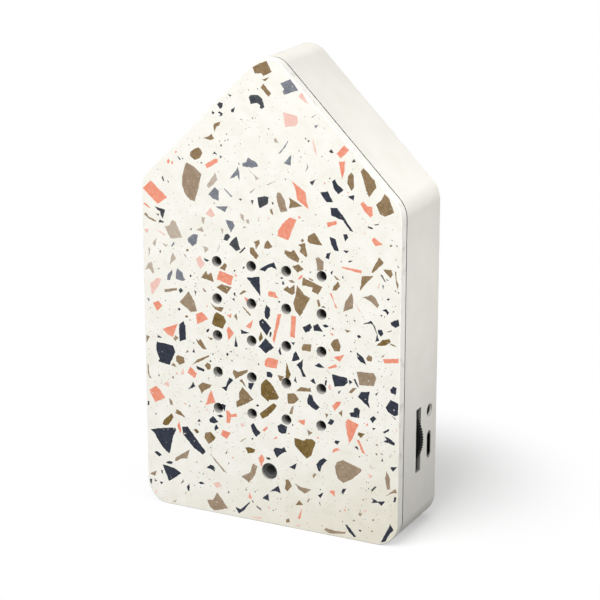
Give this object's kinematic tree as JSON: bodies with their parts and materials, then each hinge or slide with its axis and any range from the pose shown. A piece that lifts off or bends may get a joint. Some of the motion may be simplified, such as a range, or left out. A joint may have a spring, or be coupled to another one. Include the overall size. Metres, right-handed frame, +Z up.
{
  "type": "birdsong sound box",
  "caption": "House-shaped wall or shelf box with a printed perforated front, a loudspeaker, a motion eye, a thumbwheel for volume and a charging port.",
  "frame": {"origin": "middle of the flat base, half way between the front face and the back", "axes": "+Z up to the ridge, +X to the side with the volume wheel, -Y out of the front panel"},
  "size_m": [0.1044, 0.0344, 0.1737],
  "materials": {
    "printed_board": "satin print on a pale ground",
    "case_plastic": "fine moulded texture",
    "black_plastic": "satin",
    "dark_plastic": "satin",
    "adhesive_foam": "matt",
    "black_cloth": "woven",
    "zinc_steel": "zinc plated",
    "magnet_alloy": "nickel plated",
    "black_rubber": "satin",
    "cone_film": "pressed film",
    "copper_winding": "enamelled",
    "circuit_board": "solder resist",
    "grey_plastic": "moulded",
    "white_plastic": "moulded",
    "capacitor_can": "drawn",
    "lead_sheath": "smooth",
    "smoked_lens": "clear, dark tint",
    "sensor_filter": "dark filter",
    "cell_sleeve": "shrink sleeve"
  },
  "bodies": {
    "case": {"amplifier_chip": "black_plastic", "battery_cell": "cell_sleeve", "battery_leads": "lead_sheath", "battery_pad_1": "adhesive_foam", "battery_pad_2": "adhesive_foam", "capacitor_1": "capacitor_can", "capacitor_2": "capacitor_can", "cover_screw_1": "zinc_steel", "cover_screw_2": "zinc_steel", "cover_screw_3": "zinc_steel", "front_panel": "printed_board", "grille_cloth": "black_cloth", "housing": "case_plastic", "indicator_led": "white_plastic", "indicator_lens": "smoked_lens", "lead_header_1": "white_plastic", "lead_header_2": "white_plastic", "lead_header_3": "white_plastic", "lead_plug_1": "white_plastic", "lead_plug_2": "white_plastic", "lead_plug_3": "white_plastic", "main_board": "circuit_board", "memory_chip": "black_plastic", "panel_adhesive": "adhesive_foam", "rear_cover": "case_plastic", "sensor_bezel": "dark_plastic", "sensor_board": "circuit_board", "sensor_can": "zinc_steel", "sensor_leads": "lead_sheath", "sensor_window": "sensor_filter", "sound_chip": "black_plastic", "speaker_frame": "black_plastic", "speaker_leads": "lead_sheath", "speaker_magnet": "magnet_alloy", "speaker_plate": "zinc_steel", "speaker_surround": "black_rubber", "speaker_tags": "circuit_board", "speaker_yoke": "zinc_steel", "usb_shell": "zinc_steel", "usb_tongue": "grey_plastic", "volume_pot": "grey_plastic"},
    "volume_control": {"volume_wheel": "black_plastic", "volume_shaft": "zinc_steel"},
    "speaker_diaphragm": {"speaker_cone": "cone_film", "voice_coil": "copper_winding"}
  },
  "joints": [
    {"name": "volume_turn", "type": "hinge", "parent": "case", "child": "volume_control", "pos_m": [0.0379, 0.0003, 0.0356], "axis": [0, 1, 0], "range_deg": [-150, 150]},
    {"name": "cone_travel", "type": "slide", "parent": "case", "child": "speaker_diaphragm", "axis": [0, 1, 0], "range_m": [-0.0008, 0.0008], "stiffness_N_per_m": 1000, "deforming": ["speaker_surround"]}
  ]
}
